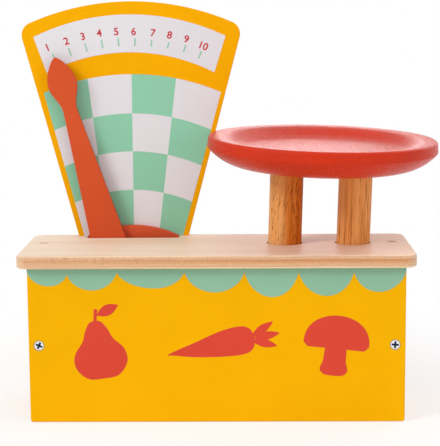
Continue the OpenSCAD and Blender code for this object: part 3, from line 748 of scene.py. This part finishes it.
def pear():
    """A pear with a stalk and a leaf."""
    fruit = curve_through([(0, -17), (9, -16), (15, -9), (14.5, -1), (9, 6), (6.5, 12), (3.5, 16.5),
                           (0, 17.5), (-3.5, 16.5), (-6.5, 12), (-9, 6), (-14.5, -1), (-15, -9),
                           (-9, -16)])
    stalk = [(-0.9, 16.5), (0.9, 16.5), (2.6, 24), (0.6, 24.6)]
    return [fruit, stalk, leaf((1.4, 20.5), (15, 25), 3.2)]


def carrot():
    """A carrot with three leaves."""
    root = curve_through([(-27, -2.2), (-14, -5.6), (4, -8.4), (17, -9), (23, -6), (24.5, 0), (23, 6),
                          (17, 9), (4, 8), (-14, 3.4), (-27, 0.2), (-31, -1.4)])
    leaves = (((22.5, 1), (38, 8.5)), ((23.5, 0), (41, 0.5)), ((22.5, -1), (38, -7.5)))
    return [root] + [leaf(foot, tip, 2.6) for foot, tip in leaves]


def mushroom():
    """A mushroom with a domed cap."""
    angles = [math.pi * t for t in shares(CAP_STEPS)[1:-1]]
    dome = [(-CAP_HALF * math.cos(a), CAP_RISE * math.sin(a) ** CAP_FULL) for a in angles]
    cap = [(-CAP_HALF, 0)] + dome + [(CAP_HALF, 0), (16.5, -2.6), (-16.5, -2.6)]
    stem = curve_through([(-5, 1), (-6.3, -4), (-6.6, -10), (-8, -15), (-5.6, -18), (0, -18.6),
                          (5.6, -18), (8, -15), (6.6, -10), (6.3, -4), (5, 1)])
    return [cap, stem]


def front_motifs():
    """Three plain food motifs. Each outline lies a layer above the last, so that none share a face."""
    motifs = [moved(outline, *PEAR_PLACE) for outline in pear()]
    motifs += [moved(outline, *CARROT_PLACE) for outline in carrot()]
    motifs += [moved(outline, *MUSHROOM_PLACE) for outline in mushroom()]
    for number, outline in enumerate(motifs):
        print_on(f"front_motif_{number + 1}", [outline], FRONT_Y, "print_red",
                 lift=PRINT + LAYER * number)


front_scallops()
front_motifs()


# The turned bowl

BOWL_R = 68.3             # radius at the foot of the upright band
BOWL_H = 17.6             # height from the underside to the rim
BAND_H = 6.5              # height of the band
BAND_IN = 0.4             # the band's top lies this much nearer the axis
BASE_R = 43.0             # radius of the flat underside
BULGE = 3.3               # how far the side swells between band and underside
RIM_ROUND = 1.8           # radius between band and rim
RIM_W = 9.5               # the rim ends this far inside the band
RIM_FALL = 0.6            # fall of the rim towards the inside
WALL_W = 9.3              # width of the sloping inner side
WALL_SLANT = 28.0         # its slope in degrees
BEND_SHARE = 0.3          # share of that slope that each rounded bend takes
BASE_ROUND = 1.2          # radius between underside and side
BAND_ROUND = 1.6          # radius between side and band
MAX_REACH = 0.45          # share of a line that a rounded corner may take
INNER_RING = 0.5          # share of the underside's radius at which it has a ring of points

BOWL_TURNS = 192
SIDE_STEPS = 16
RIM_STEPS = 10
BEND_STEPS = 8
FLOOR_STEPS = 6
CORNER_STEPS = 5

LEAN = (Matrix.Rotation(math.radians(LEAN_SIDE), 3, "Y")
        @ Matrix.Rotation(math.radians(LEAN_FRONT), 3, "X"))


def in_place(x, y, z):
    """A point of the bowl's own frame, in mm from the middle of its rim, in the row frame in metres."""
    return (LEAN @ Vector((x, y, z + RIM_RISE)) + Vector(PAN)) * MM


def bend(a, corner, c, reach, steps):
    """A rounded corner that leaves the lines to a and c at a distance of reach from it."""
    a, b, c = Vector(a), Vector(corner), Vector(c)
    p, q = b + (a - b).normalized() * reach, b + (c - b).normalized() * reach
    return [tuple(p * (1 - t) ** 2 + b * 2 * t * (1 - t) + q * t ** 2) for t in shares(steps)]


def rounded(points, radii):
    """A polyline with some of its corners rounded. radii gives a radius for a corner's number."""
    out = [points[0]]
    for i in range(1, len(points) - 1):
        if i not in radii:
            out.append(points[i])
            continue
        a, b, c = (Vector(points[k]) for k in (i - 1, i, i + 1))
        half = (a - b).angle(c - b) / 2
        reach = min(radii[i] / math.tan(half), MAX_REACH * (a - b).length, MAX_REACH * (c - b).length)
        out += bend(a, b, c, reach, CORNER_STEPS)
    out.append(points[-1])
    return out


def bowl_side():
    """The swelling side, from the underside up to the band."""
    high, base = Vector((BOWL_R, -BAND_H)), Vector((BASE_R, -BOWL_H))
    d = base - high
    outward = Vector((-d.y, d.x)).normalized()
    side = [high + d * t + outward * BULGE * (1 - (2 * t - 1) ** 2) for t in shares(SIDE_STEPS)]
    return [(p.x, p.y) for p in side[::-1]]


def bowl_rim():
    """The quarter round from the band to the rim."""
    middle = BOWL_R - BAND_IN - RIM_ROUND
    angles = [math.pi / 2 * t for t in shares(RIM_STEPS)]
    return [(middle + RIM_ROUND * math.cos(a), RIM_ROUND * (math.sin(a) - 1)) for a in angles]


def bowl_wall(rim_end):
    """The sloping inner side with its two bends, from the end of the rim's round to the floor."""
    slant = math.radians(WALL_SLANT)
    reach = WALL_W / math.cos(slant) * BEND_SHARE
    lip = Vector((BOWL_R - RIM_W, -RIM_FALL))
    knee = lip - Vector((WALL_W, WALL_W * math.tan(slant)))
    return bend(rim_end, lip, knee, reach, BEND_STEPS) + bend(lip, knee, (0, knee.y), reach, BEND_STEPS)


def bowl_profile():
    """The bowl's section, from the middle of its underside round to the middle of its floor."""
    underside = [(0, -BOWL_H), (BASE_R * INNER_RING, -BOWL_H)]
    side = bowl_side()
    rim = bowl_rim()
    wall = bowl_wall(rim[-1])
    foot_r, floor_z = wall[-1]
    floor = [(foot_r * (1 - t), floor_z) for t in shares(FLOOR_STEPS)[1:]]
    corners = {len(underside): BASE_ROUND, len(underside) + len(side) - 1: BAND_ROUND}
    return rounded(underside + side + rim + wall + floor, corners)


def lathe(profile, turns, place):
    """A closed turned solid whose profile starts and ends on the axis. place is the function that puts
    each of its points where it belongs."""
    bm = bmesh.new()
    first = bm.verts.new(place(0, 0, profile[0][1]))
    last = bm.verts.new(place(0, 0, profile[-1][1]))
    angles = [2 * math.pi * k / turns for k in range(turns)]
    rings = [[bm.verts.new(place(r * math.cos(a), r * math.sin(a), z)) for a in angles]
             for r, z in profile[1:-1]]
    for k in range(turns):
        j = (k + 1) % turns
        bm.faces.new((first, rings[0][j], rings[0][k]))
        bm.faces.new((last, rings[-1][k], rings[-1][j]))
        for a, b in zip(rings, rings[1:]):
            bm.faces.new((a[k], a[j], b[j], b[k]))
    bmesh.ops.recalc_face_normals(bm, faces=bm.faces)
    return mesh_of(bm, "turned")


def turned_bowl():
    """The bowl with fine steps all round, which stands for the CAD one."""
    mesh = lathe(bowl_profile(), BOWL_TURNS, in_place)
    bowl = piece("bowl_turned", mesh, "bowl_red", "pan")
    smooth(bowl)
    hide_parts("bowl")


turned_bowl()


# The return spring

def spring():
    """The coil as a piece of its own, a smooth-shaded copy of the CAD one that stands for it."""
    obj = piece("return_spring_coil", nodes["return_spring"].data.copy(), "spring_steel", "case")
    smooth(obj)
    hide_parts("return_spring")
    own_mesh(obj)


spring()


# Floor, light and camera, in metres and watts

FLOOR_R = 12.0
FLOOR_SEGMENTS = 96
FLOOR_Z = -0.0002         # just under the part, so that no faces coincide
FLOOR_COLOR = (250, 246, 244)
WHITE = (1, 1, 1, 1)
FADE_FROM = 0.10          # the floor turns white between these distances from the middle
FADE_TO = 0.34
FADE_NEAR = 0.62          # share of white that it has nearer than that
AMBIENT = 0.45            # strength of the world's light

# Place, size and power of each square lamp
LAMPS = {"key": ((-1.9, -1.4, 1.6), 0.9, 37), "top": ((0.5, -0.6, 2.2), 2.4, 20),
         "fill": ((1.9, -1.6, 0.6), 1.6, 9), "back": ((1.3, 2.0, 1.5), 1.8, 12),
         "glint": ((0.16, 2.4, 0.62), 0.4, 1.8)}
LAMP_AIM = (0.0, 0.0, 0.10)

# The photo's camera, as fitted to its outlines: place in mm, angles in degrees, focal length in pixels
CAMERA_AT = (16.384, -823.191, 235.202)
CAMERA_PITCH = 8.514
CAMERA_YAW = 1.016
CAMERA_ROLL = -0.422
FOCAL_PX = 1397.078
PHOTO_W_PX = 440
SENSOR_W = 36.0
SIGHT_END = 50.0          # the camera sees this far, in metres


def seen_directly(tree):
    """A socket of the node tree that is 1 for camera, glossy and transmission rays."""
    path = tree.nodes.new("ShaderNodeLightPath").outputs
    seen = path["Is Camera Ray"]
    for kind in ("Is Glossy Ray", "Is Transmission Ray"):
        most = tree.nodes.new("ShaderNodeMath")
        most.operation = "MAXIMUM"
        tree.links.new(seen, most.inputs[0])
        tree.links.new(path[kind], most.inputs[1])
        seen = most.outputs[0]
    return seen


def floor():
    """A round floor that fades to white away from the part."""
    bm = bmesh.new()
    bmesh.ops.create_circle(bm, cap_ends=True, radius=FLOOR_R, segments=FLOOR_SEGMENTS)
    obj = bpy.data.objects.new("floor", mesh_of(bm, "floor"))
    obj.location = (0, 0, FLOOR_Z)
    bpy.context.scene.collection.objects.link(obj)
    t = Tree("floor")
    t.nodes.remove(t.bsdf)
    far = t.new("ShaderNodeVectorMath", {0: t.coord["Object"]}, operation="LENGTH").outputs["Value"]
    inputs = {"Value": far, "From Min": FADE_FROM, "From Max": FADE_TO, "To Min": FADE_NEAR}
    fade = t.new("ShaderNodeMapRange", inputs, interpolation_type="SMOOTHSTEP").outputs[0]
    fade = t.mul(fade, seen_directly(t.mat.node_tree))
    near = t.new("ShaderNodeBsdfDiffuse", {"Color": linear(FLOOR_COLOR)}).outputs[0]
    white = t.new("ShaderNodeEmission", {"Color": WHITE, "Strength": 1.0}).outputs[0]
    both = t.new("ShaderNodeMixShader", {0: fade, 1: near, 2: white}).outputs[0]
    t.links.new(both, t.out.inputs[0])
    obj.data.materials.append(t.mat)


def world():
    """A world that is white to the eye and lights the part more weakly."""
    studio = bpy.data.worlds.new("studio")
    bpy.context.scene.world = studio
    studio.use_nodes = True
    tree = studio.node_tree
    tree.nodes.clear()
    out = tree.nodes.new("ShaderNodeOutputWorld")
    mix = tree.nodes.new("ShaderNodeMixShader")
    tree.links.new(seen_directly(tree), mix.inputs[0])
    for number, strength in enumerate((AMBIENT, 1.0), 1):
        light = tree.nodes.new("ShaderNodeBackground")
        light.inputs[0].default_value = WHITE
        light.inputs[1].default_value = strength
        tree.links.new(light.outputs[0], mix.inputs[number])
    tree.links.new(mix.outputs[0], out.inputs[0])


def lamp(name, at, size, watts):
    """A square lamp that looks at the part."""
    data = bpy.data.lights.new(name, "AREA")
    data.shape = "SQUARE"
    data.size = size
    data.energy = watts
    obj = bpy.data.objects.new(name, data)
    obj.location = at
    obj.rotation_euler = (Vector(LAMP_AIM) - Vector(at)).to_track_quat("-Z", "Y").to_euler()
    bpy.context.scene.collection.objects.link(obj)


def camera():
    """The camera that took the photo."""
    data = bpy.data.cameras.new("camera")
    data.sensor_fit = "HORIZONTAL"
    data.sensor_width = SENSOR_W
    data.lens = FOCAL_PX / PHOTO_W_PX * SENSOR_W
    data.clip_end = SIGHT_END
    obj = bpy.data.objects.new("camera", data)
    bpy.context.scene.collection.objects.link(obj)
    pitch, yaw, roll = (math.radians(a) for a in (CAMERA_PITCH, CAMERA_YAW, CAMERA_ROLL))
    ahead = Vector((-math.sin(yaw) * math.cos(pitch), math.cos(yaw) * math.cos(pitch), -math.sin(pitch)))
    level_right = ahead.cross(Vector((0, 0, 1))).normalized()
    level_up = level_right.cross(ahead)
    right = level_right * math.cos(roll) + level_up * math.sin(roll)
    up = level_up * math.cos(roll) - level_right * math.sin(roll)
    turn = Matrix((right, up, -ahead)).transposed().to_4x4()
    obj.matrix_world = Matrix.Translation(Vector(CAMERA_AT) * MM) @ turn
    bpy.context.scene.camera = obj


floor()
world()
for name, (at, size, watts) in LAMPS.items():
    lamp(name, at, size, watts)
camera()

bpy.context.scene.view_settings.view_transform = "Standard"
